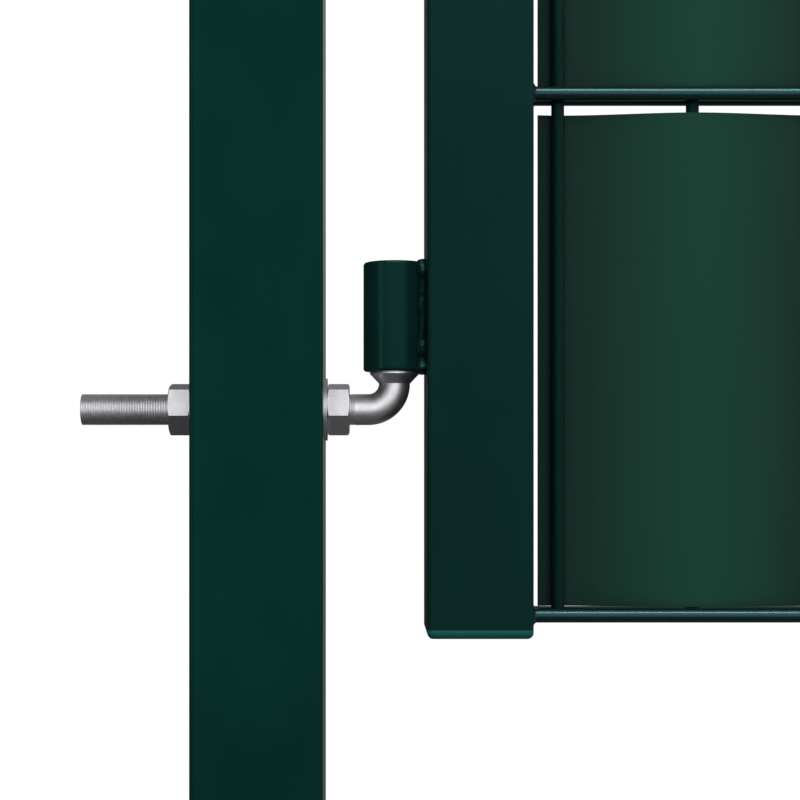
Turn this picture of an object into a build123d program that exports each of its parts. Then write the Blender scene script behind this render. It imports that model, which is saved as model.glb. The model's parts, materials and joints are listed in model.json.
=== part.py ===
"""Single-leaf garden gate: two square posts and a leaf of double-wire mesh filled with woven PVC strips.

X runs along the gate from the hinge post to the latch post, Y to the rear, Z up, in millimetres.
The origin is the centre of the hinge post's foot.
"""
from build123d import *
import os
from math import cos, radians, sin, sqrt

os.makedirs("parts", exist_ok=True)

cut_margin = 1.0

# ---------------------------------------------------------------- posts and leaf frame
post_side = 50.0
post_wall = 2.0
post_corner = 2.0
buried_depth = 400.0
ground_clearance = 60.0
post_rise = 24.6
post_cap_plate = 4.0
tube_corner_ease = 0.5

stile_side = 40.0
stile_wall = 1.5
stile_corner = 1.5
leaf_width = 882.0
stile_end_margin = 4.2
stile_cap_plate = 3.5

cap_plug_depth = 14.0
cap_plug_wall = 2.0
cap_plug_clearance = 0.2
cap_edge_radius = 2.4

hinge_gap = 39.0
latch_gap = 15.0

# ---------------------------------------------------------------- mesh and privacy strips
row_count = 5
row_pitch = 200.0
row_wire = 5.5
upright_wire = 5.0
upright_pitch = 52.0
upright_min_edge = 10.0
crossing_sink = 0.25
upright_overhang = 2.0

strip_thickness = 1.2
strip_wire_clearance = 0.15
strip_rest_gap = 0.3
strip_top_gap = 4.2
strip_end_gap = 3.5
strip_end_share = 0.8

# ---------------------------------------------------------------- hinges
pin_diameter = 12.0
pin_clearance = 0.075
sleeve_outer = 24.0
sleeve_length = 42.0
sleeve_edge = 1.2
weld_angle = 48.0
weld_width = 8.5
weld_inner = 4.0
weld_length = 39.0
weld_hollow_radius = 51.0
hinge_above_wire = 79.0
bend_radius = 10.0
collar_diameter = 19.0
collar_height = 4.5
collar_gap = 0.1
collar_edge = 0.8
pin_chamfer = 1.2
pin_short_of_sleeve = 3.0
thread_overhang = 43.5
thread_pitch = 1.0
thread_depth = 0.2
thread_crest_share = 0.3
thread_past_post = 12.0
bolt_hole_clearance = 0.5
nut_flats = 18.0
nut_height = 8.5
nut_turn = 14.0
nut_thread_clearance = 0.05
nut_chamfer = 0.6
nut_face_inset = 0.1
nut_chamfer_slope = 0.5
washer_outer = 24.0
washer_thickness = 1.2

# ---------------------------------------------------------------- lock, handles and strike
spindle_below_top = 330.0
backset = 20.0
cylinder_drop = 72.0
neck_room = 1.0
case_depth = 38.0
case_width = 15.0
case_wall = 1.2
case_above_spindle = 38.0
case_below_spindle = 110.0
case_clearance = 0.3
faceplate_width = 22.0
faceplate_length = 180.0
faceplate_thickness = 2.5
faceplate_corner = 4.0
plate_centre_drop = 36.0
handle_plate_width = 30.0
handle_plate_length = 180.0
handle_plate_thickness = 6.0
handle_plate_corner = 8.0
handle_plate_edge = 1.6
plate_screw_drop = 78.0
handle_screw = 5.0
handle_screw_head = 9.0
handle_screw_head_height = 2.4
handle_screw_head_edge = 1.0
hex_socket_radius = 1.7
hex_socket_depth = 1.4
screw_hole_clearance = 0.25
faceplate_screw = 4.0
faceplate_screw_length = 12.0
faceplate_screw_drop = 82.0
cylinder_screw_length = 27.0

latch_rise = 24.0
latch_height = 20.0
latch_width = 12.0
latch_strike_gap = 0.5
latch_bevel_start = 1.0
latch_nose_flat = 2.0
latch_back_inset = 8.0
tail_above_spindle = 18.0
tail_height = 4.0
tail_width = 4.0
lug_above_spindle = 13.0
lug_inset = 19.5
lug_length = 4.0
dead_height = 22.0
dead_width = 10.0
dead_length = 34.0
dead_face_inset = 0.2
dead_edge = 0.8
bolt_slot_clearance = 0.25

spring_above_spindle = 28.0
spring_radius = 3.2
spring_wire = 0.8
spring_gap = 0.2
spring_turns = 7

hub_radius = 10.0
hub_journal = 14.0
hub_side_clearance = 0.2
journal_proud = 0.2
running_clearance = 0.07
arm_reach = 17.0
arm_width = 6.0
arm_lean = 20.0
spindle_side = 8.0
spindle_clearance = 0.1
spindle_edge = 0.4
spindle_end_play = 1.0
socket_depth = 22.0

lever_diameter = 18.0
neck_diameter = 16.0
neck_stile_gap = 1.0
lever_shoulder_gap = 1.0
lever_reach = 122.0
lever_stand = 40.0
lever_bend = 16.0
lever_return = 24.0
lever_tip_flat = 4.0

cylinder_length = 60.0
cylinder_round = 17.0
cylinder_leg = 10.0
cylinder_clearance = 0.3
cylinder_stile_clearance = 0.5
plug_diameter = 13.0
cam_radius = 15.2
cam_width = 7.0
cam_slot = 10.0
cam_thickness = 9.4
cam_sweep_clearance = 0.6
cam_bolt_gap = 0.8
cam_screw_gap = 2.3
cylinder_screw_wall = 2.0
keyway_width = 1.6
keyway_height = 8.5
keyway_depth = 22.0
keyway_offset = 0.6

strike_thickness = 2.0
strike_length = 190.0
stop_overlap = 4.0
stop_gap = 0.5
strike_rear_margin = 8.0
strike_slot_clearance = 1.0
strike_screw = 5.0
strike_screw_length = 14.0
strike_screw_drop = 84.0
countersink_room = 0.6

screw_head_play = 0.1
screw_point = 1.0
countersink_clearance = 0.1
recess_span_share = 1.1
recess_width_share = 0.22
recess_depth_share = 0.35

# ---------------------------------------------------------------- places worked out from the sizes
stile_length = row_count * row_pitch + 2 * stile_end_margin
stile_bottom = buried_depth + ground_clearance + stile_cap_plate
stile_top = stile_bottom + stile_length
post_length = stile_top + stile_cap_plate + post_rise
lowest_row = stile_bottom + stile_end_margin
highest_row = lowest_row + row_count * row_pitch
strip_height = row_pitch - row_wire - strip_rest_gap - strip_top_gap

post_face = post_side / 2
leaf_left = post_face + hinge_gap
leaf_right = leaf_left + leaf_width
mesh_left = leaf_left + stile_side
mesh_right = leaf_right - stile_side
latch_post_face = leaf_right + latch_gap
latch_post_x = latch_post_face + post_side / 2
stile_half = stile_side / 2
pin_x = leaf_left - sleeve_outer / 2

lower_bolt_z = lowest_row + hinge_above_wire
upper_bolt_z = highest_row - hinge_above_wire
sleeve_offset = bend_radius + collar_height + collar_gap

spindle_x = leaf_right - backset
spindle_z = stile_top - spindle_below_top
cylinder_z = spindle_z - cylinder_drop
cylinder_screw_drop = cam_radius + cam_screw_gap + handle_screw / 2
cylinder_screw_z = cylinder_z - cylinder_screw_drop
cylinder_leg_end = cylinder_screw_drop + handle_screw / 2 + cylinder_screw_wall
latch_z = spindle_z + latch_rise
dead_z = cylinder_z + cam_radius + cam_bolt_gap + dead_height / 2
plate_z = spindle_z - plate_centre_drop
case_bottom = spindle_z - case_below_spindle
case_top = spindle_z + case_above_spindle
case_middle = (case_bottom + case_top) / 2
case_height = case_top - case_bottom
handle_face = stile_half + handle_plate_thickness
lever_shoulder = handle_face + lever_shoulder_gap
neck_start = stile_half + neck_stile_gap
faceplate_front = leaf_right + faceplate_thickness

screw_levels = (plate_z - plate_screw_drop, plate_z + plate_screw_drop)
faceplate_levels = (plate_z - faceplate_screw_drop, plate_z + faceplate_screw_drop)
strike_levels = (plate_z - strike_screw_drop, plate_z + strike_screw_drop)
screw_hole = handle_screw / 2 + screw_hole_clearance


def save(part, name):
    """Label a finished piece and write its file."""
    part.label = name
    export_step(part, f"parts/{name}.step")


def facing(y):
    """Drawing plane that looks towards the rear: its X is X and its Y is Z, at depth y."""
    return Plane(origin=(0, y, 0), x_dir=(1, 0, 0), z_dir=(0, -1, 0))


def across(x):
    """Drawing plane across the gate: its X is Y and its Y is Z, at place x, facing +X."""
    return Plane(origin=(x, 0, 0), x_dir=(0, 1, 0), z_dir=(1, 0, 0))


def bolt_slots(clearance, mode=Mode.ADD):
    """Openings for the latch bolt and the dead bolt, in the current sketch across the gate."""
    with Locations((0, latch_z)):
        Rectangle(latch_width + 2 * clearance, latch_height + 2 * clearance, mode=mode)
    with Locations((0, dead_z)):
        Rectangle(dead_width + 2 * clearance, dead_height + 2 * clearance, mode=mode)


# ---------------------------------------------------------------- posts
def square_tube(x, side, wall, corner, bottom, length):
    with BuildPart() as tube:
        with BuildSketch(Plane.XY.offset(bottom)):
            with Locations((x, 0)):
                RectangleRounded(side, side, corner)
                RectangleRounded(side - 2 * wall, side - 2 * wall, corner - wall + tube_corner_ease,
                                 mode=Mode.SUBTRACT)
        extrude(amount=length)
    return tube.part


def end_cap(x, end_z, outward, side, wall, corner, plate):
    """Plastic cap: a plate over the tube's end and a hollow square plug inside it."""
    inner = side - 2 * wall - 2 * cap_plug_clearance
    with BuildPart() as cap:
        with BuildSketch(Plane.XY.offset(end_z)):
            with Locations((x, 0)):
                RectangleRounded(side, side, corner)
        extrude(amount=outward * plate)
        rim = cap.edges().group_by(Axis.Z)[-1 if outward > 0 else 0]
        fillet(rim, cap_edge_radius)
        with BuildSketch(Plane.XY.offset(end_z)):
            with Locations((x, 0)):
                RectangleRounded(inner, inner, corner / 2)
                RectangleRounded(inner - 2 * cap_plug_wall, inner - 2 * cap_plug_wall, corner / 4,
                                 mode=Mode.SUBTRACT)
        extrude(amount=-outward * cap_plug_depth)
    return cap.part


bolt_hole = pin_diameter / 2 + bolt_hole_clearance
with BuildPart() as hinge_post:
    add(square_tube(0, post_side, post_wall, post_corner, 0, post_length))
    with BuildSketch(across(-post_side)):
        with Locations((0, lower_bolt_z), (0, upper_bolt_z)):
            Circle(bolt_hole)
    extrude(amount=2 * post_side, mode=Mode.SUBTRACT)
save(hinge_post.part, "hinge_post")

with BuildPart() as latch_post:
    add(square_tube(latch_post_x, post_side, post_wall, post_corner, 0, post_length))
    with BuildSketch(across(latch_post_face - cut_margin)):
        bolt_slots(strike_slot_clearance)
        with Locations(*[(0, level) for level in strike_levels]):
            Circle(strike_screw / 2 + countersink_room)
    extrude(amount=post_wall + 2 * cut_margin, mode=Mode.SUBTRACT)
save(latch_post.part, "latch_post")

for post_name, post_x in (("hinge_post_cap", 0), ("latch_post_cap", latch_post_x)):
    save(end_cap(post_x, post_length, 1, post_side, post_wall, post_corner, post_cap_plate), post_name)


# ---------------------------------------------------------------- hinge bolts
def thread_outline(start, end):
    """Half outline of a threaded rod from start to end, as (along, radius) points off the axis."""
    crest = pin_diameter / 2
    root = crest - thread_depth
    crest_half = thread_crest_share * thread_pitch / 2
    turns = int((end - start) / thread_pitch)
    points = [(start, 0), (start, root)]
    for turn in range(turns):
        left = start + turn * thread_pitch
        middle = left + thread_pitch / 2
        points += [(middle - crest_half, crest), (middle + crest_half, crest), (left + thread_pitch, root)]
    smooth = start + turns * thread_pitch
    points += [(smooth + thread_depth, crest), (end + thread_pitch, crest), (end + thread_pitch, 0)]
    return points


def hinge_bolt(bolt_z, up):
    """Bolt through the post, threaded, bent up (up = 1) or down (up = -1), with a collar for the sleeve."""
    thread_start = -post_face - thread_overhang
    thread_end = post_face + thread_past_post
    rod_start = thread_end + thread_pitch
    corner_x = pin_x - bend_radius
    base = bolt_z + up * bend_radius
    collar_top = base + up * collar_height
    pin_end = bolt_z + up * (sleeve_offset + sleeve_length - pin_short_of_sleeve)
    with BuildPart() as bolt:
        with BuildSketch(Plane.XZ):
            with BuildLine():
                Polyline(*[(x, bolt_z + r) for x, r in thread_outline(thread_start, thread_end)], close=True)
            make_face()
        revolve(axis=Axis((0, 0, bolt_z), (1, 0, 0)))
        with BuildLine(Plane.XZ) as path:
            Line((rod_start, bolt_z), (corner_x, bolt_z))
            TangentArc((corner_x, bolt_z), (pin_x, base), tangent=(1, 0))
        with BuildSketch(across(rod_start)):
            with Locations((0, bolt_z)):
                Circle(pin_diameter / 2)
        sweep(path=path.line)
        with BuildSketch(Plane.XZ):
            with BuildLine():
                Polyline((pin_x, base), (pin_x + pin_diameter / 2, base),
                         (pin_x + collar_diameter / 2, collar_top - up * collar_edge),
                         (pin_x + collar_diameter / 2, collar_top), (pin_x + pin_diameter / 2, collar_top),
                         (pin_x + pin_diameter / 2, pin_end - up * pin_chamfer),
                         (pin_x + pin_diameter / 2 - pin_chamfer, pin_end), (pin_x, pin_end), close=True)
            make_face()
        revolve(axis=Axis((pin_x, 0, 0), (0, 0, 1)))
    return bolt.part


save(hinge_bolt(lower_bolt_z, 1), "lower_hinge_bolt")
save(hinge_bolt(upper_bolt_z, -1), "upper_hinge_bolt")

bolt_levels = (lower_bolt_z, upper_bolt_z)
nut_corner = nut_flats / sqrt(3)
nut_starts = (-post_face - washer_thickness - nut_height, post_face + washer_thickness)


def nut_edge_cut(nut_x, level):
    """Half outline of the ring that bevels a nut's corners at both ends."""
    nut_end = nut_x + nut_height
    face = level + nut_flats / 2 - nut_face_inset
    outside = face - nut_chamfer_slope * cut_margin
    return [(nut_x - cut_margin, outside), (nut_x, face), (nut_x + nut_chamfer, level + nut_corner),
            (nut_end - nut_chamfer, level + nut_corner), (nut_end, face), (nut_end + cut_margin, outside),
            (nut_end + cut_margin, level + nut_flats), (nut_x - cut_margin, level + nut_flats)]


with BuildPart() as hinge_nuts:
    for nut_x in nut_starts:
        for level in bolt_levels:
            with BuildSketch(across(nut_x)):
                with Locations((0, level)):
                    RegularPolygon(nut_corner, 6, rotation=nut_turn)
            extrude(amount=nut_height)
    for nut_x in nut_starts:
        for level in bolt_levels:
            with BuildSketch(Plane.XZ):
                with BuildLine():
                    Polyline(*nut_edge_cut(nut_x, level), close=True)
                make_face()
            revolve(axis=Axis((0, 0, level), (1, 0, 0)), mode=Mode.SUBTRACT)
    with BuildSketch(across(-2 * post_side)):
        with Locations(*[(0, level) for level in bolt_levels]):
            Circle(pin_diameter / 2 + nut_thread_clearance)
    extrude(amount=4 * post_side, mode=Mode.SUBTRACT)
save(hinge_nuts.part, "hinge_nuts")

with BuildPart() as hinge_washers:
    for washer_x in (-post_face - washer_thickness, post_face):
        with BuildSketch(across(washer_x)):
            with Locations(*[(0, level) for level in bolt_levels]):
                Circle(washer_outer / 2)
                Circle(bolt_hole, mode=Mode.SUBTRACT)
        extrude(amount=washer_thickness)
save(hinge_washers.part, "hinge_washers")


# ---------------------------------------------------------------- sleeves and their welds
def sleeve_base(bolt_z, up):
    """Lowest level of the sleeve that sits on a bolt's collar."""
    near = bolt_z + up * sleeve_offset
    return near if up > 0 else near - sleeve_length


def hinge_sleeve(base):
    with BuildPart() as sleeve:
        with BuildSketch(Plane.XY.offset(base)):
            with Locations((pin_x, 0)):
                Circle(sleeve_outer / 2)
        extrude(amount=sleeve_length)
        fillet(sleeve.edges().filter_by(GeomType.CIRCLE), sleeve_edge)
        with BuildSketch(Plane.XY.offset(base)):
            with Locations((pin_x, 0)):
                Circle(pin_diameter / 2 + pin_clearance)
        extrude(amount=sleeve_length, mode=Mode.SUBTRACT)
    return sleeve.part


def sleeve_weld(base):
    """Two weld runs in the corners between the round sleeve and the flat stile, front and rear."""
    radius = sleeve_outer / 2
    toe = (pin_x + radius * cos(radians(weld_angle)), -radius * sin(radians(weld_angle)))
    root = (pin_x + sqrt(radius ** 2 - weld_inner ** 2), -weld_inner)
    with BuildPart() as weld:
        with BuildSketch(Plane.XY.offset(base + (sleeve_length - weld_length) / 2)):
            with BuildLine():
                Line((leaf_left, -weld_inner), (leaf_left, -weld_width))
                RadiusArc((leaf_left, -weld_width), toe, weld_hollow_radius)
                RadiusArc(toe, root, -radius)
                Line(root, (leaf_left, -weld_inner))
            make_face()
            mirror(about=Plane.XZ)
        extrude(amount=weld_length)
    return weld.part


for level_name, level, turn in (("lower", lower_bolt_z, 1), ("upper", upper_bolt_z, -1)):
    foot = sleeve_base(level, turn)
    save(hinge_sleeve(foot), f"{level_name}_hinge_sleeve")
    save(sleeve_weld(foot), f"{level_name}_sleeve_weld")


# ---------------------------------------------------------------- euro profile outline
def euro_profile(grow):
    """Cylinder outline in the current sketch: a round head with a narrow round-ended leg below it."""
    with Locations((spindle_x, cylinder_z)):
        Circle(cylinder_round / 2 + grow)
    with Locations((spindle_x, cylinder_z - (cylinder_leg_end - cylinder_leg / 2) / 2)):
        Rectangle(cylinder_leg + 2 * grow, cylinder_leg_end - cylinder_leg / 2)
    with Locations((spindle_x, cylinder_z - cylinder_leg_end + cylinder_leg / 2)):
        Circle(cylinder_leg / 2 + grow)


# ---------------------------------------------------------------- stiles
save(square_tube(leaf_left + stile_half, stile_side, stile_wall, stile_corner, stile_bottom, stile_length),
     "hinge_stile")

with BuildPart() as latch_stile:
    add(square_tube(leaf_right - stile_half, stile_side, stile_wall, stile_corner, stile_bottom,
                    stile_length))
    with BuildSketch(across(leaf_right - stile_wall - cut_margin)):
        with Locations((0, case_middle)):
            Rectangle(case_width + 2 * case_clearance, case_height + 2 * case_clearance)
        with Locations(*[(0, level) for level in faceplate_levels]):
            Circle(faceplate_screw / 2 + running_clearance)
    extrude(amount=stile_wall + 2 * cut_margin, mode=Mode.SUBTRACT)
    with BuildSketch(facing(-stile_side)):
        with Locations((spindle_x, spindle_z)):
            Circle(neck_diameter / 2 + neck_room)
        euro_profile(cylinder_stile_clearance)
        with Locations(*[(spindle_x, level) for level in screw_levels]):
            Circle(screw_hole)
    extrude(amount=-2 * stile_side, mode=Mode.SUBTRACT)
save(latch_stile.part, "latch_stile")

for side_name, stile_x in (("hinge", leaf_left + stile_half), ("latch", leaf_right - stile_half)):
    for end_name, end_z, outward in (("bottom", stile_bottom, -1), ("top", stile_top, 1)):
        save(end_cap(stile_x, end_z, outward, stile_side, stile_wall, stile_corner, stile_cap_plate),
             f"{side_name}_stile_{end_name}_cap")

# ---------------------------------------------------------------- mesh wires
inner_width = mesh_right - mesh_left
bay_count = int((inner_width - 2 * upright_min_edge) // upright_pitch)
first_upright = mesh_left + (inner_width - bay_count * upright_pitch) / 2
upright_places = [first_upright + i * upright_pitch for i in range(bay_count + 1)]
row_depth = row_wire / 2 + upright_wire / 2 - crossing_sink
row_levels = [lowest_row + i * row_pitch for i in range(row_count + 1)]


def row_wires(y):
    with BuildPart() as wires:
        with BuildSketch(across(mesh_left)):
            with Locations(*[(y, level) for level in row_levels]):
                Circle(row_wire / 2)
        extrude(amount=inner_width)
    return wires.part


save(row_wires(-row_depth), "mesh_front_wires")
save(row_wires(row_depth), "mesh_rear_wires")

with BuildPart() as mesh_upright_wires:
    with BuildSketch(Plane.XY.offset(lowest_row - upright_overhang)):
        with Locations(*[(x, 0) for x in upright_places]):
            Circle(upright_wire / 2)
    extrude(amount=row_count * row_pitch + 2 * upright_overhang)
save(mesh_upright_wires.part, "mesh_upright_wires")

# ---------------------------------------------------------------- privacy strips
weave = upright_wire / 2 + strip_wire_clearance + strip_thickness / 2
strip_left = mesh_left + strip_end_gap
strip_right = mesh_right - strip_end_gap


def weave_points(shift):
    """Through points of the woven strip: behind the first upright, in front of the next, and so on."""
    turns = [(x, weave * (-1) ** i + shift) for i, x in enumerate(upright_places)]
    left_end = (strip_left, strip_end_share * (turns[0][1] - shift) + shift)
    right_end = (strip_right, strip_end_share * (turns[-1][1] - shift) + shift)
    return [left_end] + turns + [right_end]


with BuildPart() as privacy_strip:
    with BuildSketch(Plane.XY.offset(lowest_row + row_wire / 2 + strip_rest_gap)):
        with BuildLine():
            rear = Spline(*weave_points(strip_thickness / 2))
            front = Spline(*weave_points(-strip_thickness / 2))
            Line(rear @ 0, front @ 0)
            Line(rear @ 1, front @ 1)
        make_face()
    extrude(amount=strip_height)

for row in range(row_count):
    save(Pos(0, 0, row * row_pitch) * privacy_strip.part, f"privacy_strip_{row + 1}")

# ---------------------------------------------------------------- lock case, cover and faceplate
case_front = -case_width / 2
case_rear = case_width / 2
inner_left = leaf_right - case_depth + case_wall


def case_passages():
    """Holes through the lock case's broad sides, in the current sketch."""
    with Locations((spindle_x, spindle_z)):
        Circle(hub_journal / 2 + running_clearance)
    euro_profile(cylinder_clearance)


with BuildPart() as lock_case:
    with BuildSketch(facing(case_front + case_wall)):
        with Locations((leaf_right - case_depth / 2, case_middle)):
            Rectangle(case_depth, case_height)
    extrude(amount=-(case_width - case_wall))
    with BuildSketch(facing(case_front + case_wall)):
        with Locations((leaf_right - case_depth / 2, case_middle)):
            Rectangle(case_depth - 2 * case_wall, case_height - 2 * case_wall)
    extrude(amount=-(case_width - 2 * case_wall), mode=Mode.SUBTRACT)
    with BuildSketch(facing(0)):
        case_passages()
    extrude(amount=-case_width, mode=Mode.SUBTRACT)
    with BuildSketch(across(leaf_right - case_wall - cut_margin)):
        bolt_slots(bolt_slot_clearance)
        with Locations((0, cylinder_screw_z)):
            Circle(screw_hole)
    extrude(amount=case_wall + 2 * cut_margin, mode=Mode.SUBTRACT)
save(lock_case.part, "lock_case")

with BuildPart() as lock_cover:
    with BuildSketch(facing(case_front)):
        with Locations((leaf_right - case_depth / 2, case_middle)):
            Rectangle(case_depth, case_height)
    extrude(amount=-case_wall)
    with BuildSketch(facing(case_front)):
        case_passages()
    extrude(amount=-case_wall, mode=Mode.SUBTRACT)
save(lock_cover.part, "lock_cover")

with BuildPart() as lock_faceplate:
    with BuildSketch(across(leaf_right)):
        with Locations((0, plate_z)):
            RectangleRounded(faceplate_width, faceplate_length, faceplate_corner)
        bolt_slots(bolt_slot_clearance, Mode.SUBTRACT)
    extrude(amount=faceplate_thickness)
    for level in faceplate_levels:
        with Locations(Plane(origin=(faceplate_front, 0, level), z_dir=(1, 0, 0))):
            CounterSinkHole(faceplate_screw / 2 + countersink_clearance, faceplate_screw)
    with Locations(Plane(origin=(faceplate_front, 0, cylinder_screw_z), z_dir=(1, 0, 0))):
        CounterSinkHole(handle_screw / 2 + countersink_clearance, handle_screw)
save(lock_faceplate.part, "lock_faceplate")


# ---------------------------------------------------------------- countersunk screws along X
def countersunk_screw(head_x, level, diameter, length, direction):
    """Screw with its flat head at head_x and its shank running in direction along X."""
    head = diameter - screw_head_play
    tip_x = head_x + direction * length
    with BuildPart() as screw:
        with BuildSketch(Plane.XZ):
            with BuildLine():
                Polyline((head_x, level), (head_x, level + head),
                         (head_x + direction * (head - diameter / 2), level + diameter / 2),
                         (tip_x - direction * screw_point, level + diameter / 2),
                         (tip_x, level + diameter / 2 - screw_point), (tip_x, level), close=True)
            make_face()
        revolve(axis=Axis((0, 0, level), (1, 0, 0)))
        with BuildSketch(across(head_x)):
            with Locations((0, level)):
                Rectangle(head * recess_span_share, head * recess_width_share)
                Rectangle(head * recess_width_share, head * recess_span_share)
        extrude(amount=direction * head * recess_depth_share, mode=Mode.SUBTRACT)
    return screw.part


def screw_group(head_x, levels, diameter, length, direction):
    with BuildPart() as group:
        for level in levels:
            add(countersunk_screw(head_x, level, diameter, length, direction))
    return group.part


save(screw_group(faceplate_front, faceplate_levels, faceplate_screw, faceplate_screw_length, -1),
     "faceplate_screws")
save(countersunk_screw(faceplate_front, cylinder_screw_z, handle_screw, cylinder_screw_length, -1),
     "cylinder_screw")

# ---------------------------------------------------------------- latch bolt, dead bolt and spring
latch_nose = latch_post_face - strike_thickness - latch_strike_gap
latch_back = leaf_right - latch_back_inset
lug_right = leaf_right - lug_inset
lug_left = lug_right - lug_length
lug_bottom = spindle_z + lug_above_spindle
tail_bottom = spindle_z + tail_above_spindle
tail_top = tail_bottom + tail_height
with BuildPart() as latch_bolt:
    with BuildSketch(Plane.XY.offset(latch_z - latch_height / 2)):
        with BuildLine():
            Polyline((latch_back, -latch_width / 2), (faceplate_front + latch_bevel_start, -latch_width / 2),
                     (latch_nose, latch_width / 2 - latch_nose_flat), (latch_nose, latch_width / 2),
                     (latch_back, latch_width / 2), close=True)
        make_face()
    extrude(amount=latch_height)
    with BuildSketch(facing(-tail_width / 2)):
        with BuildLine():
            Polyline((latch_back, tail_top), (lug_left, tail_top), (lug_left, lug_bottom),
                     (lug_right, lug_bottom), (lug_right, tail_bottom), (latch_back, tail_bottom), close=True)
        make_face()
    extrude(amount=-tail_width)
save(latch_bolt.part, "latch_bolt")

with BuildPart() as dead_bolt:
    with BuildSketch(Plane.XY.offset(dead_z - dead_height / 2)):
        with Locations((faceplate_front - dead_face_inset - dead_length / 2, 0)):
            Rectangle(dead_length, dead_width)
    extrude(amount=dead_height)
    chamfer(dead_bolt.faces().sort_by(Axis.X)[-1].edges(), dead_edge)
save(dead_bolt.part, "dead_bolt")

spring_level = spindle_z + spring_above_spindle
spring_start = inner_left + spring_wire / 2 + spring_gap
spring_span = latch_back - spring_gap - spring_wire / 2 - spring_start
with BuildPart() as latch_spring:
    with BuildLine() as coil:
        Helix(pitch=spring_span / spring_turns, height=spring_span, radius=spring_radius,
              center=(spring_start, 0, spring_level), direction=(1, 0, 0))
    with BuildSketch(Plane(coil.line @ 0, z_dir=coil.line % 0)):
        Circle(spring_wire / 2)
    sweep(path=coil.line, is_frenet=True)
save(latch_spring.part, "latch_spring")

# ---------------------------------------------------------------- follower and spindle
hub_inner = case_width - 2 * case_wall - 2 * hub_side_clearance
lean = radians(arm_lean)
arm_middle = (spindle_x + arm_reach / 2 * sin(lean), spindle_z + arm_reach / 2 * cos(lean))
with BuildPart() as lock_follower:
    with BuildSketch(facing(-hub_inner / 2)):
        with Locations((spindle_x, spindle_z)):
            Circle(hub_radius)
    extrude(amount=-hub_inner)
    with BuildSketch(facing(-arm_width / 2)):
        with Locations(Location((arm_middle[0], arm_middle[1], 0), (0, 0, 1), -arm_lean)):
            Rectangle(arm_width, arm_reach)
    extrude(amount=-arm_width)
    with BuildSketch(facing(-case_width / 2 - journal_proud)):
        with Locations((spindle_x, spindle_z)):
            Circle(hub_journal / 2)
    extrude(amount=-(case_width + 2 * journal_proud))
    with BuildSketch(facing(-case_width)):
        with Locations((spindle_x, spindle_z)):
            Rectangle(spindle_side + 2 * spindle_clearance, spindle_side + 2 * spindle_clearance)
    extrude(amount=-2 * case_width, mode=Mode.SUBTRACT)
save(lock_follower.part, "lock_follower")

spindle_length = 2 * (neck_start + socket_depth - spindle_end_play)
with BuildPart() as handle_spindle:
    with BuildSketch(facing(-spindle_length / 2)):
        with Locations((spindle_x, spindle_z)):
            Rectangle(spindle_side, spindle_side)
    extrude(amount=-spindle_length)
    chamfer(handle_spindle.edges().filter_by(Axis.Y), spindle_edge)
save(handle_spindle.part, "handle_spindle")


# ---------------------------------------------------------------- levers and backplates
def lever():
    """Front lever: a round neck out of the backplate, a bar towards the hinges and a turned-in end."""
    bar_y = -stile_half - lever_stand
    end_x = spindle_x - lever_reach
    with BuildPart() as handle:
        with BuildLine(Plane.XY.offset(spindle_z)) as path:
            Line((spindle_x, -lever_shoulder), (spindle_x, bar_y + lever_bend))
            RadiusArc((spindle_x, bar_y + lever_bend), (spindle_x - lever_bend, bar_y), lever_bend)
            Line((spindle_x - lever_bend, bar_y), (end_x + lever_bend, bar_y))
            RadiusArc((end_x + lever_bend, bar_y), (end_x, bar_y + lever_bend), lever_bend)
            Line((end_x, bar_y + lever_bend), (end_x, bar_y + lever_return))
        with BuildSketch(facing(-lever_shoulder)):
            with Locations((spindle_x, spindle_z)):
                Circle(lever_diameter / 2)
        sweep(path=path.line)
        tip = handle.faces().filter_by(Axis.Y).sort_by(Axis.X)[0]
        fillet(tip.edges(), lever_diameter / 2 - lever_tip_flat)
        with BuildSketch(facing(-lever_shoulder)):
            with Locations((spindle_x, spindle_z)):
                Circle(neck_diameter / 2)
        extrude(amount=-(lever_shoulder - neck_start))
        with BuildSketch(facing(-neck_start)):
            with Locations((spindle_x, spindle_z)):
                Rectangle(spindle_side + 2 * spindle_clearance, spindle_side + 2 * spindle_clearance)
        extrude(amount=socket_depth, mode=Mode.SUBTRACT)
    return handle.part


def handle_plate():
    """Front backplate over the stile, with openings for the lever's neck, the cylinder and two screws."""
    with BuildPart() as plate:
        with BuildSketch(facing(-stile_half)):
            with Locations((spindle_x, plate_z)):
                RectangleRounded(handle_plate_width, handle_plate_length, handle_plate_corner)
        extrude(amount=handle_plate_thickness)
        front_rim = plate.edges().group_by(Axis.Y)[0]
        fillet(front_rim, handle_plate_edge)
        with BuildSketch(facing(-handle_face)):
            with Locations((spindle_x, spindle_z)):
                Circle(neck_diameter / 2 + running_clearance)
            euro_profile(cylinder_clearance)
            with Locations(*[(spindle_x, level) for level in screw_levels]):
                Circle(screw_hole)
        extrude(amount=-handle_plate_thickness, mode=Mode.SUBTRACT)
    return plate.part


front_lever = lever()
front_plate = handle_plate()
save(front_lever, "front_lever")
save(front_lever.mirror(Plane.XZ), "rear_lever")
save(front_plate, "front_handle_plate")
save(front_plate.mirror(Plane.XZ), "rear_handle_plate")

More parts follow.
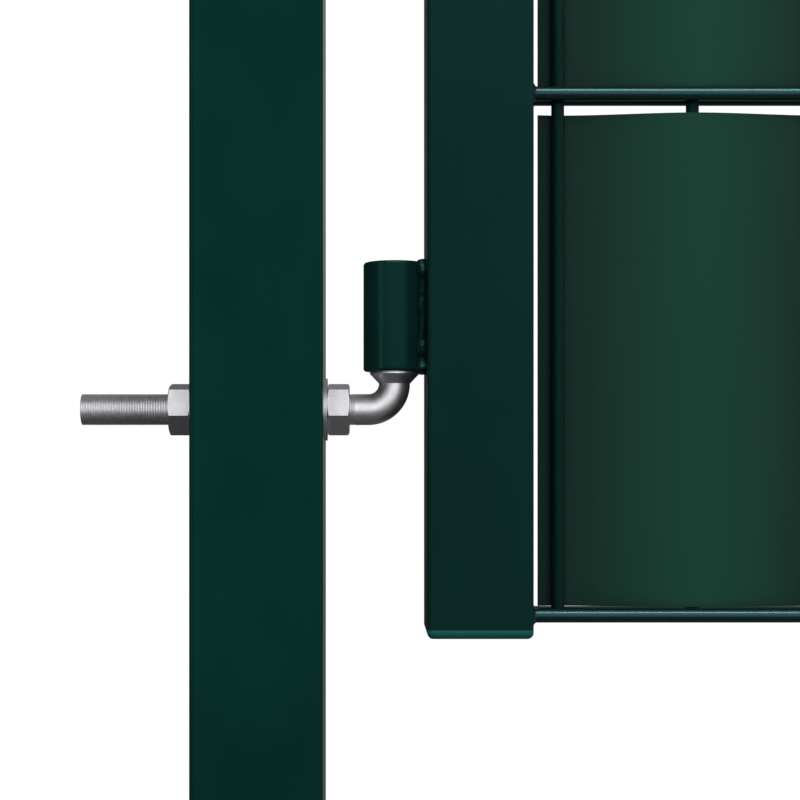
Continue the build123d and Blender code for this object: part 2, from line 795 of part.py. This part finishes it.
with BuildPart() as handle_screws:
    for level in screw_levels:
        with BuildSketch(facing(-handle_face)):
            with Locations((spindle_x, level)):
                Circle(handle_screw / 2)
        extrude(amount=-2 * handle_face)
        for side in (-1, 1):
            with BuildSketch(facing(side * handle_face)):
                with Locations((spindle_x, level)):
                    Circle(handle_screw_head / 2)
            extrude(amount=-side * handle_screw_head_height)
    rims = handle_screws.edges().filter_by(GeomType.CIRCLE).group_by(Axis.Y)
    fillet(rims[0] + rims[-1], handle_screw_head_edge)
    for side in (-1, 1):
        with BuildSketch(facing(side * (handle_face + handle_screw_head_height))):
            with Locations(*[(spindle_x, level) for level in screw_levels]):
                RegularPolygon(hex_socket_radius, 6)
        extrude(amount=side * hex_socket_depth, mode=Mode.SUBTRACT)
save(handle_screws.part, "handle_screws")

# ---------------------------------------------------------------- key cylinder
with BuildPart() as cylinder_housing:
    with BuildSketch(facing(-cylinder_length / 2)):
        euro_profile(0)
        with Locations((spindle_x, cylinder_z)):
            Circle(plug_diameter / 2 + running_clearance, mode=Mode.SUBTRACT)
    extrude(amount=-cylinder_length)
    with BuildSketch(facing(-cam_slot / 2)):
        with Locations((spindle_x, cylinder_z)):
            Circle(cam_radius + cam_sweep_clearance)
    extrude(amount=-cam_slot, mode=Mode.SUBTRACT)
    with BuildSketch(across(spindle_x - cylinder_leg)):
        with Locations((0, cylinder_screw_z)):
            Circle(handle_screw / 2 + running_clearance)
    extrude(amount=2 * cylinder_leg, mode=Mode.SUBTRACT)
save(cylinder_housing.part, "cylinder_housing")


def plug(side):
    """Turning core of the cylinder, with its keyway; side is -1 for the front and 1 for the rear."""
    core_length = (cylinder_length - cam_slot) / 2
    with BuildPart() as core:
        with BuildSketch(facing(side * cylinder_length / 2)):
            with Locations((spindle_x, cylinder_z)):
                Circle(plug_diameter / 2)
        extrude(amount=side * core_length)
        with BuildSketch(facing(side * cylinder_length / 2)):
            with Locations((spindle_x, cylinder_z - keyway_offset)):
                SlotOverall(keyway_height, keyway_width, rotation=90)
        extrude(amount=side * keyway_depth, mode=Mode.SUBTRACT)
    return core.part


save(plug(-1), "front_plug")
save(plug(1), "rear_plug")

cam_tip = cam_radius - cam_width / 2
with BuildPart() as cylinder_cam:
    with BuildSketch(facing(-cam_thickness / 2)):
        with Locations((spindle_x, cylinder_z)):
            Circle(cylinder_round / 2)
            SlotCenterPoint((0, -cam_tip / 2), (0, -cam_tip), cam_width)
    extrude(amount=-cam_thickness)
save(cylinder_cam.part, "cylinder_cam")

# ---------------------------------------------------------------- strike plate
strike_left = latch_post_face - strike_thickness
stop_inner = -stile_half - stop_gap
stop_outer = stop_inner - strike_thickness
strike_rear = latch_width / 2 + strike_rear_margin
with BuildPart() as strike_plate:
    with BuildSketch(Plane.XY.offset(plate_z - strike_length / 2)):
        with BuildLine():
            Polyline((latch_post_face, strike_rear), (strike_left, strike_rear), (strike_left, stop_inner),
                     (leaf_right - stop_overlap, stop_inner), (leaf_right - stop_overlap, stop_outer),
                     (latch_post_face, stop_outer), close=True)
        make_face()
    extrude(amount=strike_length)
    with BuildSketch(across(strike_left - cut_margin)):
        bolt_slots(strike_slot_clearance)
    extrude(amount=strike_thickness + 2 * cut_margin, mode=Mode.SUBTRACT)
    for level in strike_levels:
        with Locations(Plane(origin=(strike_left, 0, level), z_dir=(-1, 0, 0))):
            CounterSinkHole(strike_screw / 2 + countersink_clearance, strike_screw)
save(strike_plate.part, "strike_plate")

save(screw_group(strike_left, strike_levels, strike_screw, strike_screw_length, 1), "strike_screws")
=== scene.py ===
"""Looks of a square-post garden gate: powder-coated frame, welded mesh, PVC strips and zinc-plated hinges."""
import json
import math
import random

import bmesh
import bpy
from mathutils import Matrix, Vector, noise


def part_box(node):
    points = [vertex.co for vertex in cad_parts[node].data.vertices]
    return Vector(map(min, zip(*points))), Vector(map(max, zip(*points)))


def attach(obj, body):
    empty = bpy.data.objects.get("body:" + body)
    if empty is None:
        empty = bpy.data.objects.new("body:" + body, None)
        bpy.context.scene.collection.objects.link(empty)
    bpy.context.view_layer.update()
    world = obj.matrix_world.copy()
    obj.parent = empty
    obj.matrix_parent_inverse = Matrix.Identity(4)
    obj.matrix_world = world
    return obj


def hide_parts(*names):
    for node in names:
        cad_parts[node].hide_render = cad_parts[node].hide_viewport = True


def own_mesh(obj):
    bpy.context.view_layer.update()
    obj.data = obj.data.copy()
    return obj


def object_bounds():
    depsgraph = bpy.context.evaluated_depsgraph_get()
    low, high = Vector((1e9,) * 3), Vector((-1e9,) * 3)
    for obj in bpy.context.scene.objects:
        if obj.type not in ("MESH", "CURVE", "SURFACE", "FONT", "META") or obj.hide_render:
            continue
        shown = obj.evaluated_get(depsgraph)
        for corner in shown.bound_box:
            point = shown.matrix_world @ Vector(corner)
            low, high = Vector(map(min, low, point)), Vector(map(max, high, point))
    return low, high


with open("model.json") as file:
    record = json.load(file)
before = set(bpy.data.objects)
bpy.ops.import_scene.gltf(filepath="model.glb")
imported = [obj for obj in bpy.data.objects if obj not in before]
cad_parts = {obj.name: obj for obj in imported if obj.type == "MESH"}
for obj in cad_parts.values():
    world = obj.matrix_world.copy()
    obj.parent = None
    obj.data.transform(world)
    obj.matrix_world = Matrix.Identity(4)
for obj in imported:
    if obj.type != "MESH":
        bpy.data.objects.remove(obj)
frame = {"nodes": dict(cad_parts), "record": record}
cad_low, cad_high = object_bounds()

MM = 0.001
nodes = frame["nodes"]
scene = bpy.context.scene
scene.view_settings.view_transform = "Standard"
scene.view_settings.look = "None"


# ---------------------------------------------------------------- places worked out from the frame
post_low, post_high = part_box("hinge_post")
stile_low, stile_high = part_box("hinge_stile")
latch_stile_low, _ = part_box("latch_stile")
sleeve_low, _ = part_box("lower_hinge_sleeve")
uprights_low, uprights_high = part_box("mesh_upright_wires")
post_x = (post_low.x + post_high.x) / 2
gate_x = (cad_low.x + cad_high.x) / 2

ROW_COUNT = 5
ROW_WIRE = 5.5 * MM
UPRIGHT_WIRE = 5 * MM
UPRIGHT_BAYS = 15
upright_pitch = (uprights_high.x - uprights_low.x - UPRIGHT_WIRE) / UPRIGHT_BAYS
first_bulge = uprights_low.x + UPRIGHT_WIRE / 2 + upright_pitch


# ---------------------------------------------------------------- camera
CAMERA_DISTANCE = 0.680
CAMERA_BELOW_SLEEVE = 0.0302
CAMERA_RIGHT_OF_POST = 0.0410
LENS = 79.25
SENSOR_WIDTH = 36.0
SHIFT_X = 0.0425
SHIFT_Y = 0.0625
NEAR_CLIP = 0.05
FAR_CLIP = 100.0


def make_camera():
    """A level camera square to the gate's front, near the lower hinge."""
    data = bpy.data.cameras.new("camera")
    data.lens = LENS
    data.sensor_width = SENSOR_WIDTH
    data.shift_x = SHIFT_X
    data.shift_y = SHIFT_Y
    data.clip_start = NEAR_CLIP
    data.clip_end = FAR_CLIP
    camera = bpy.data.objects.new("camera", data)
    camera.location = (post_x + CAMERA_RIGHT_OF_POST, -CAMERA_DISTANCE, sleeve_low.z - CAMERA_BELOW_SLEEVE)
    camera.rotation_euler = (math.radians(90), 0, 0)
    scene.collection.objects.link(camera)
    scene.camera = camera


# ---------------------------------------------------------------- studio
BACKDROP_STRENGTH = 1.02
SKY_LEVELS = ((0.20, 0.10), (0.47, 0.16), (0.56, 0.30), (0.75, 0.36), (1.0, 0.34))   # height, brightness
SKY_SIDE_SPAN = 0.15
SKY_LEFT = 0.2
SKY_RIGHT = 1.1
FLOOR_RADIUS = 1.5
FLOOR_SIDES = 96
FLOOR_DROP = 1 * MM
FLOOR_SHADE = 0.86
FLOOR_ROUGHNESS = 0.8
FLOOR_GLOW = 0.45


def make_world():
    """White backdrop for the eye, and a softer light for the surfaces that fades down and to the left."""
    world = bpy.data.worlds.new("studio")
    scene.world = world
    world.use_nodes = True
    tree = world.node_tree
    tree.nodes.clear()
    out = tree.nodes.new("ShaderNodeOutputWorld")
    mix = tree.nodes.new("ShaderNodeMixShader")
    seen = tree.nodes.new("ShaderNodeBackground")
    lit = tree.nodes.new("ShaderNodeBackground")
    path = tree.nodes.new("ShaderNodeLightPath")
    place = tree.nodes.new("ShaderNodeTexCoord")
    split = tree.nodes.new("ShaderNodeSeparateXYZ")
    ramp = tree.nodes.new("ShaderNodeValToRGB")
    height = tree.nodes.new("ShaderNodeMapRange")
    side = tree.nodes.new("ShaderNodeMapRange")
    seen.inputs["Color"].default_value = (1, 1, 1, 1)
    seen.inputs["Strength"].default_value = BACKDROP_STRENGTH
    height.inputs["From Min"].default_value = -1.0
    height.inputs["From Max"].default_value = 1.0
    side.inputs["From Min"].default_value = -SKY_SIDE_SPAN
    side.inputs["From Max"].default_value = SKY_SIDE_SPAN
    side.inputs["To Min"].default_value = SKY_LEFT
    side.inputs["To Max"].default_value = SKY_RIGHT
    set_stops(ramp.color_ramp, [(position, (level, level, level)) for position, level in SKY_LEVELS])
    tree.links.new(place.outputs["Generated"], split.inputs[0])
    tree.links.new(split.outputs["Z"], height.inputs["Value"])
    tree.links.new(height.outputs["Result"], ramp.inputs["Fac"])
    tree.links.new(split.outputs["X"], side.inputs["Value"])
    tree.links.new(side.outputs["Result"], lit.inputs["Strength"])
    tree.links.new(ramp.outputs["Color"], lit.inputs["Color"])
    tree.links.new(path.outputs["Is Camera Ray"], mix.inputs[0])
    tree.links.new(lit.outputs[0], mix.inputs[1])
    tree.links.new(seen.outputs[0], mix.inputs[2])
    tree.links.new(mix.outputs[0], out.inputs["Surface"])


def set_stops(bar, stops):
    """Give a colour ramp its (position, colour) stops."""
    while len(bar.elements) < len(stops):
        bar.elements.new(0.5)
    for element, (position, colour) in zip(bar.elements, stops):
        element.position = position
        element.color = (*colour, 1)


def make_floor():
    """A round pale floor under the posts' feet."""
    mesh = bpy.data.meshes.new("floor")
    shape = bmesh.new()
    bmesh.ops.create_circle(shape, cap_ends=True, segments=FLOOR_SIDES, radius=FLOOR_RADIUS)
    shape.to_mesh(mesh)
    shape.free()
    floor = bpy.data.objects.new("floor", mesh)
    floor.location = (gate_x, 0, -FLOOR_DROP)
    scene.collection.objects.link(floor)
    paint = bpy.data.materials.new("floor_paint")
    paint.use_nodes = True
    shader = paint.node_tree.nodes["Principled BSDF"]
    shader.inputs["Base Color"].default_value = (FLOOR_SHADE, FLOOR_SHADE, FLOOR_SHADE, 1)
    shader.inputs["Roughness"].default_value = FLOOR_ROUGHNESS
    shader.inputs["Emission Color"].default_value = (1, 1, 1, 1)
    shader.inputs["Emission Strength"].default_value = FLOOR_GLOW
    mesh.materials.append(paint)
    floor.visible_glossy = False
    floor.visible_diffuse = False


def soft_light(name, place, target, size, power, diffuse=True, glossy=True):
    """A soft box at place, aimed at target, that lights surfaces, shows as a highlight, or both."""
    data = bpy.data.lights.new(name, "AREA")
    data.shape = "RECTANGLE"
    data.size, data.size_y = size
    data.energy = power
    light = bpy.data.objects.new(name, data)
    light.location = place
    light.rotation_euler = (Vector(target) - Vector(place)).to_track_quat("-Z", "Y").to_euler()
    light.visible_camera = False
    light.visible_diffuse = diffuse
    light.visible_glossy = glossy
    scene.collection.objects.link(light)
    return light


def light_the_gate():
    """Soft boxes that reach every piece: one in front, one at each side and a pair behind."""
    soft_light("front_light", place=(0.2, -1.8, 1.15), target=(0.2, 0, 0.85), size=(2.6, 2.1), power=16)
    soft_light("left_panel", place=(-1.9, -1.0, 1.1), target=(0.2, 0, 0.8), size=(1.4, 2.0), power=7)
    soft_light("right_panel", place=(2.4, -1.0, 1.1), target=(0.2, 0, 0.8), size=(1.4, 2.0), power=10)
    behind = {"place": (0.7, 1.9, 1.6), "target": (gate_x, 0, 0.9), "size": (2.2, 1.6)}
    soft_light("rear_light", power=24, glossy=False, **behind)
    soft_light("rear_glow", power=4, diffuse=False, **behind)


def light_some(light, group_name):
    """A new collection that holds the only pieces the light reaches."""
    group = bpy.data.collections.new(group_name)
    light.light_linking.receiver_collection = group
    return group


def light_the_sleeves():
    """A lamp at each side for the hinge sleeves alone; the posts cast no shadow from it."""
    group = bpy.data.collections.new("sleeves")
    for side in (-1, 1):
        glow = soft_light("sleeve_glow", place=(side * 1.3, -0.7, 0.9), target=(0.05, 0, 0.7),
                          size=(0.7, 1.6), power=8)
        glow.light_linking.receiver_collection = group
        glow.light_linking.blocker_collection = group
    return group


make_camera()
make_world()
make_floor()
light_the_gate()
top_strip = soft_light("top_strip", place=(0.5, -1.2, 2.1), target=(0.5, 0, 0.7), size=(2.4, 0.4),
                       power=40, diffuse=False)
coated = light_some(top_strip, "coated_pieces")
plated_glow = soft_light("plated_glow", place=(0.0, -1.8, 1.0), target=(0.0, 0, 0.6), size=(2.0, 1.4),
                         power=4, diffuse=False)
plated = light_some(plated_glow, "plated_pieces")
sleeves = light_the_sleeves()


# ---------------------------------------------------------------- material building blocks
class Finish:
    """A small helper that builds one node material."""

    def __init__(self, name):
        self.material = bpy.data.materials.new(name)
        self.material.use_nodes = True
        self.tree = self.material.node_tree
        self.shader = self.tree.nodes["Principled BSDF"]
        self.place = self.tree.nodes.new("ShaderNodeTexCoord").outputs["Object"]

    def node(self, kind, links=(), **settings):
        """A new node with its settings, fed by (source, socket) links."""
        made = self.tree.nodes.new(kind)
        for name, value in settings.items():
            setattr(made, name, value)
        for source, socket in links:
            self.tree.links.new(source, made.inputs[socket])
        return made

    def link(self, source, socket):
        """Feed one of the shader's sockets."""
        self.tree.links.new(source, self.shader.inputs[socket])

    def uniform(self, socket, value):
        """Set one of the shader's sockets to the same value all over."""
        self.shader.inputs[socket].default_value = value

    def stretched(self, x, y, z):
        """Object coordinates scaled along each axis."""
        made = self.node("ShaderNodeMapping", [(self.place, "Vector")])
        made.inputs["Scale"].default_value = (x, y, z)
        return made.outputs["Vector"]

    def noise(self, scale, detail=3.0, roughness=0.5, where=None):
        """Smooth random values, with scale in waves to the metre."""
        made = self.node("ShaderNodeTexNoise", [(where or self.place, "Vector")])
        made.inputs["Scale"].default_value = scale
        made.inputs["Detail"].default_value = detail
        made.inputs["Roughness"].default_value = roughness
        return made.outputs["Fac"]

    def ramp(self, source, stops):
        """Colour ramp with (position, colour) stops."""
        made = self.node("ShaderNodeValToRGB", [(source, "Fac")])
        set_stops(made.color_ramp, stops)
        return made.outputs["Color"]

    def grey(self, source, low, high, dark, light):
        """Map source from low..high to the values dark..light."""
        made = self.node("ShaderNodeMapRange", [(source, "Value")])
        made.inputs["From Min"].default_value = low
        made.inputs["From Max"].default_value = high
        made.inputs["To Min"].default_value = dark
        made.inputs["To Max"].default_value = light
        return made.outputs["Result"]

    def spread(self, source, dark, light):
        """Map a noise's usual range to the values dark..light."""
        return self.grey(source, NOISE_LOW, NOISE_HIGH, dark, light)

    def maths(self, operation, first, second=None):
        """One step of arithmetic on a socket, with a socket or a number."""
        made = self.node("ShaderNodeMath", [(first, 0)], operation=operation)
        if isinstance(second, (int, float)):
            made.inputs[1].default_value = second
        elif second is not None:
            self.tree.links.new(second, made.inputs[1])
        return made.outputs[0]

    def mix(self, share, first, second):
        """Blend a plain colour with a coloured socket by share."""
        made = self.node("ShaderNodeMix", data_type="RGBA")
        self.tree.links.new(share, made.inputs["Factor"])
        made.inputs[6].default_value = (*first, 1)
        self.tree.links.new(second, made.inputs[7])
        return made.outputs[2]

    def bump(self, height, strength, distance):
        """Raise the surface by the height socket."""
        made = self.node("ShaderNodeBump", [(height, "Height")])
        made.inputs["Strength"].default_value = strength
        made.inputs["Distance"].default_value = distance
        self.link(made.outputs["Normal"], "Normal")


# ---------------------------------------------------------------- finishes
NOISE_LOW = 0.3
NOISE_HIGH = 0.7
DRIFT_EDGES = (0.36, 0.64)
COAT_SHINE = 0.16
SHINE_SPREAD = 0.06
# Strip colours: the shaded and lit ends of the painted light across each bulge, also spanning the random
# cloudy tone.
PVC_SHADED = (0.0090, 0.048, 0.0335)
PVC_LIT = (0.0125, 0.091, 0.0560)
# Painted shade colour, and its reach, for where the strip sits close to the stiles.
PVC_NOOK_SHADE = (0.0085, 0.027, 0.024)
PVC_CLOUD = 0.25
PVC_LIGHT_RANGE = 1 + PVC_CLOUD
NOOK_SHADE_REACH = 0.014
NOOK_SHADE_RANGE = (0.35, 0.9)


def powder_coat(name, deep, pale, tint, shine=COAT_SHINE, gloss=0.25):
    """Glossy powder coat: slow colour drift along the tube and a fine orange peel."""
    finish = Finish(name)
    drift = finish.noise(scale=24.0, where=finish.stretched(1, 1, 0.6))
    peel = finish.noise(scale=900.0, detail=2.0)
    finish.link(finish.ramp(drift, list(zip(DRIFT_EDGES, (deep, pale)))), "Base Color")
    finish.link(finish.spread(drift, shine, shine + SHINE_SPREAD), "Roughness")
    finish.bump(peel, strength=0.06, distance=0.2 * MM)
    finish.uniform("Specular IOR Level", gloss)
    finish.uniform("Specular Tint", (*tint, 1))
    return finish.material


def pvc(name):
    """Matt PVC sheet with a faint vertical grain and a random cloudy tone; painted light makes it paler where
    it bulges to the front between the uprights and darker where it passes behind them, and painted shade
    darkens it close to the stiles.
    """
    finish = Finish(name)
    cloud = finish.noise(scale=9.0, where=finish.stretched(1.4, 1.4, 0.3))
    grain = finish.noise(scale=160.0, detail=2.0, roughness=0.6, where=finish.stretched(1, 1, 0.02))
    along = finish.node("ShaderNodeSeparateXYZ", [(finish.place, "Vector")]).outputs["X"]
    # Painted light: paler where the strip bulges forward over every other upright, darker where it passes
    # behind the ones between, with a random cloudy tone mixed in.
    from_bulge = finish.maths("SUBTRACT", along, first_bulge)
    painted_bulge_light = finish.maths("COSINE", finish.maths("MULTIPLY", from_bulge, math.pi / upright_pitch))
    bulge_light_and_cloud = finish.maths("ADD", painted_bulge_light, finish.spread(cloud, -PVC_CLOUD, PVC_CLOUD))
    shade = finish.ramp(finish.grey(bulge_light_and_cloud, -PVC_LIGHT_RANGE, PVC_LIGHT_RANGE, 0.0, 1.0), [(0.0, PVC_SHADED), (1.0, PVC_LIT)])
    # Painted shade: the strip turns darker where ambient occlusion finds other parts, chiefly the stiles,
    # within a short reach.
    nook_shade = finish.node("ShaderNodeAmbientOcclusion")
    nook_shade.inputs["Distance"].default_value = NOOK_SHADE_REACH
    openness = finish.grey(nook_shade.outputs["AO"], *NOOK_SHADE_RANGE, 0.0, 1.0)
    finish.link(finish.mix(openness, PVC_NOOK_SHADE, shade), "Base Color")
    finish.link(finish.spread(grain, 0.5, 0.62), "Roughness")
    finish.bump(grain, strength=0.1, distance=0.3 * MM)
    finish.uniform("Specular IOR Level", 0.12)
    return finish.material


def moulded_plastic(name, deep, pale):
    """Satin moulded plastic with a fine spark-eroded grain."""
    finish = Finish(name)
    cloud = finish.noise(scale=60.0, detail=2.0)
    grain = finish.noise(scale=2600.0, detail=2.0, roughness=0.6)
    finish.link(finish.ramp(cloud, [(NOISE_LOW, deep), (NOISE_HIGH, pale)]), "Base Color")
    finish.link(finish.spread(cloud, 0.36, 0.46), "Roughness")
    finish.bump(grain, strength=0.15, distance=0.1 * MM)
    finish.uniform("Specular Tint", (0.3, 0.9, 0.88, 1))
    return finish.material


def metal(name, dark, light, rough, grain_scale, stretch=(1, 1, 1)):
    """Bare or plated metal with cloudy tone, fine grain and uneven shine."""
    finish = Finish(name)
    cloud = finish.noise(scale=120.0, detail=4.0, roughness=0.6)
    grain = finish.noise(scale=grain_scale, roughness=0.6, where=finish.stretched(*stretch))
    finish.link(finish.ramp(cloud, [(NOISE_LOW, dark), (NOISE_HIGH, light)]), "Base Color")
    finish.link(finish.spread(grain, rough - SHINE_SPREAD, rough + SHINE_SPREAD), "Roughness")
    finish.bump(grain, strength=0.12, distance=0.1 * MM)
    finish.uniform("Metallic", 1.0)
    return finish.material


finishes = {
    "post_paint": powder_coat("post_paint_look", deep=(0.0030, 0.0285, 0.0205),
                              pale=(0.0040, 0.0385, 0.0310), tint=(0.06, 0.6, 0.55)),
    "stile_paint": powder_coat("stile_paint_look", deep=(0.0030, 0.0190, 0.0150),
                               pale=(0.0040, 0.0250, 0.0205), tint=(0.1, 0.6, 0.6), shine=0.28),
    "wire_paint": powder_coat("wire_paint_look", deep=(0.0045, 0.0190, 0.0160),
                              pale=(0.0055, 0.0240, 0.0205), tint=(0.3, 0.7, 0.75), shine=0.24, gloss=0.9),
    "upright_paint": powder_coat("upright_paint_look", deep=(0.0040, 0.0190, 0.0150),
                                 pale=(0.0050, 0.0240, 0.0195), tint=(0.2, 0.7, 0.65), shine=0.3, gloss=0.12),
    "strip_pvc": pvc("strip_pvc_look"),
    "cap_plastic": moulded_plastic("cap_plastic_look", deep=(0.009, 0.090, 0.082),
                                   pale=(0.013, 0.115, 0.106)),
    "zinc": metal("zinc_look", dark=(0.72, 0.71, 0.74), light=(0.82, 0.81, 0.85), rough=0.46,
                  grain_scale=700.0),
    "plain_steel": metal("plain_steel_look", dark=(0.50, 0.50, 0.51), light=(0.62, 0.62, 0.63), rough=0.30,
                         grain_scale=900.0, stretch=(1, 1, 0.1)),
    "lever_finish": metal("lever_finish_look", dark=(0.52, 0.52, 0.53), light=(0.62, 0.62, 0.63), rough=0.28,
                          grain_scale=1100.0, stretch=(0.1, 1, 1)),
    "cylinder_brass": metal("cylinder_brass_look", dark=(0.50, 0.46, 0.36), light=(0.62, 0.57, 0.45),
                            rough=0.25, grain_scale=1200.0, stretch=(1, 0.1, 1)),
}


def dress_cad_nodes():
    """Give each CAD node its finish and put it among the pieces that its own lamps reach."""
    for part in frame["record"]["subparts"]:
        name, slot_name = part["node"], part["material_slot"]
        look = finishes["upright_paint" if name == "mesh_upright_wires" else slot_name]
        for slot in nodes[name].material_slots:
            slot.material = look
        if slot_name in ("stile_paint", "wire_paint", "cap_plastic"):
            coated.objects.link(nodes[name])
        if slot_name == "zinc":
            plated.objects.link(nodes[name])
        if name.endswith("hinge_sleeve"):
            sleeves.objects.link(nodes[name])


dress_cad_nodes()


# ---------------------------------------------------------------- meshes
SKIN_GRAIN = 420.0
SEED_STEP = Vector((3.7, 1.3, 2.1))
STEEP = 0.9


def tube_mesh(name, path, radii, sides, slot_name, wobble=0.0, seed=0):
    """A closed tube along path with a radius for each point, its skin roughened by wobble of the radius."""
    shape = bmesh.new()
    rings = []
    offset = SEED_STEP * seed
    for index, point in enumerate(path):
        before = path[max(index - 1, 0)]
        after = path[min(index + 1, len(path) - 1)]
        along = (after - before).normalized()
        helper = Vector((0, 0, 1)) if abs(along.z) < STEEP else Vector((0, 1, 0))
        first = along.cross(helper).normalized()
        second = along.cross(first).normalized()
        ring = []
        for side in range(sides):
            angle = 2 * math.pi * side / sides
            out = first * math.cos(angle) + second * math.sin(angle)
            rough = noise.noise((point + out * radii[index]) * SKIN_GRAIN + offset)
            ring.append(shape.verts.new(point + out * radii[index] * (1 + wobble * rough)))
        rings.append(ring)
    for lower, upper in zip(rings, rings[1:]):
        for side in range(sides):
            shape.faces.new((lower[side], lower[(side + 1) % sides], upper[(side + 1) % sides], upper[side]))
    shape.faces.new(reversed(rings[0]))
    shape.faces.new(rings[-1])
    bmesh.ops.recalc_face_normals(shape, faces=shape.faces)
    for face in shape.faces:
        face.smooth = len(face.verts) == 4
    return finish_mesh(shape, name, slot_name)


def finish_mesh(shape, name, slot_name):
    """Turn a bmesh into an object with the finish of a material slot."""
    mesh = bpy.data.meshes.new(name)
    shape.to_mesh(mesh)
    shape.free()
    mesh.materials.append(finishes[slot_name])
    made = bpy.data.objects.new(name, mesh)
    scene.collection.objects.link(made)
    if slot_name in ("stile_paint", "wire_paint"):
        coated.objects.link(made)
    return made


def joined(name, parts, slot_name):
    """One object from several made in place."""
    shape = bmesh.new()
    for part in parts:
        shape.from_mesh(part.data)
        bpy.data.objects.remove(part)
    return finish_mesh(shape, name, slot_name)


# ---------------------------------------------------------------- sleeve welds
BEAD_RINGS = 90
BEAD_SIDES = 20
BEAD_RADIUS = 2.2 * MM
BEAD_INSET = 1.3 * MM
BEAD_FORWARD = 6.9 * MM
BEAD_PAST_SLEEVE = 0.9 * MM
BEAD_DRIFT = 0.5 * MM
BEAD_DRIFT_WAVES = 6
BEAD_WOBBLE = 0.12
BEAD_LUMPS = ((0.04, 0.05, 1.2 * MM), (0.22, 0.06, 1.0 * MM), (0.88, 0.06, 1.1 * MM))   # place, width, height
SMALL_LUMPS = 2
SMALL_LUMP_PLACES = (0.3, 0.8)
SMALL_LUMP_HEIGHTS = (0.2, 0.4)
SMALL_LUMP_WIDTH = 0.06
RIPPLE_HEIGHT = 0.05 * MM
RIPPLES = 13
RIPPLE_UNEVENNESS = 0.6
RIPPLE_UNEVENNESS_WAVES = 9
BEAD_END = 0.03
BEAD_END_LEAST = 0.02


def swell_at(t, centre, width, height):
    """Height at t of a smooth lump round centre."""
    return height * math.exp(-((t - centre) / width) ** 2)


def sleeve_bead(name, base, top, front, seed):
    """One weld run up the corner between a sleeve and the stile; it rises in lumps at both ends."""
    draw = random.Random(seed)
    lumps = list(BEAD_LUMPS)
    lumps += [(draw.uniform(*SMALL_LUMP_PLACES), SMALL_LUMP_WIDTH, draw.uniform(*SMALL_LUMP_HEIGHTS) * MM)
              for _ in range(SMALL_LUMPS)]
    path, radii = [], []
    for index in range(BEAD_RINGS):
        t = index / (BEAD_RINGS - 1)
        drift = noise.noise(Vector((t * BEAD_DRIFT_WAVES, seed, 0.5))) * BEAD_DRIFT
        path.append(Vector((stile_low.x - BEAD_INSET + drift, front * (BEAD_FORWARD + drift),
                            base + (top - base) * t)))
        swell = sum(swell_at(t, *lump) for lump in lumps)
        unevenness = RIPPLE_UNEVENNESS * math.sin(RIPPLE_UNEVENNESS_WAVES * t)
        ripple = RIPPLE_HEIGHT * math.sin(2 * math.pi * RIPPLES * t + unevenness)
        end = min(min(t, 1 - t) / BEAD_END, 1)
        radii.append((BEAD_RADIUS + swell + ripple) * math.sqrt(max(BEAD_END_LEAST, 1 - (1 - end) ** 2)))
    return tube_mesh(name, path, radii, BEAD_SIDES, "stile_paint", BEAD_WOBBLE, seed)


def weld_sleeve(which, seed):
    """The two runs that hold one hinge sleeve, in place of its plain weld."""
    low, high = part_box(f"{which}_hinge_sleeve")
    runs = [sleeve_bead(f"{which}_run_{front}", low.z - BEAD_PAST_SLEEVE, high.z + BEAD_PAST_SLEEVE, front,
                        seed + front)
            for front in (-1, 1)]
    beads = joined(f"{which}_sleeve_weld_beads", runs, "stile_paint")
    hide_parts(f"{which}_sleeve_weld")
    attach(beads, "leaf")


weld_sleeve("lower", seed=11)
weld_sleeve("upper", seed=23)


# ---------------------------------------------------------------- wire welds
NUB_PROFILE = ((-0.2, 4.3), (0.3, 4.5), (0.9, 4.0), (1.6, 3.3), (2.3, 2.9), (2.8, 2.5))   # along, radius
NUB_SIDES = 24
NUB_REACH = (0.8, 1.25)
NUB_UNEVENNESS = (0.92, 1.06)
NUB_WOBBLE = 0.25
NUB_FIRST_SEED = 100


def wire_nub(name, face_x, inward, y, level, seed):
    """An uneven weld collar where a row wire meets a stile's inner face."""
    draw = random.Random(seed)
    reach = draw.uniform(*NUB_REACH)
    path = [Vector((face_x + inward * along * reach * MM, y, level)) for along, _ in NUB_PROFILE]
    radii = [radius * draw.uniform(*NUB_UNEVENNESS) * MM for _, radius in NUB_PROFILE]
    return tube_mesh(name, path, radii, NUB_SIDES, "wire_paint", NUB_WOBBLE, seed)


def weld_wires():
    """A collar at both ends of every row wire."""
    nubs = []
    for rows_name in ("mesh_front_wires", "mesh_rear_wires"):
        low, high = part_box(rows_name)
        middle_y = (low.y + high.y) / 2
        pitch = (high.z - low.z - ROW_WIRE) / ROW_COUNT
        for row in range(ROW_COUNT + 1):
            level = low.z + ROW_WIRE / 2 + row * pitch
            for face_x, inward in ((stile_high.x, 1), (latch_stile_low.x, -1)):
                seed = NUB_FIRST_SEED + len(nubs)
                nubs.append(wire_nub(f"nub_{len(nubs)}", face_x, inward, middle_y, level, seed))
    wire_welds = joined("wire_end_welds", nubs, "wire_paint")
    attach(wire_welds, "leaf")


weld_wires()


# ---------------------------------------------------------------- latch spring
SPRING_TURNS = 7
SPRING_WIRE = 0.8 * MM
SPRING_STEPS = 24
SPRING_SIDES = 10


def coil_spring():
    """A wound wire in place of the plain latch spring."""
    low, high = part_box("latch_spring")
    middle_z = (low.z + high.z) / 2
    start, end = low.x + SPRING_WIRE / 2, high.x - SPRING_WIRE / 2
    coil_radius = (high.z - low.z - SPRING_WIRE) / 2
    steps = SPRING_TURNS * SPRING_STEPS
    coil = []
    for step in range(steps + 1):
        angle = 2 * math.pi * SPRING_TURNS * step / steps
        coil.append(Vector((start + (end - start) * step / steps, coil_radius * math.cos(angle),
                            middle_z + coil_radius * math.sin(angle))))
    spring = tube_mesh("latch_spring_coil", coil, [SPRING_WIRE / 2] * len(coil), SPRING_SIDES, "plain_steel")
    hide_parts("latch_spring")
    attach(spring, "leaf")
    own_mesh(spring)


coil_spring()
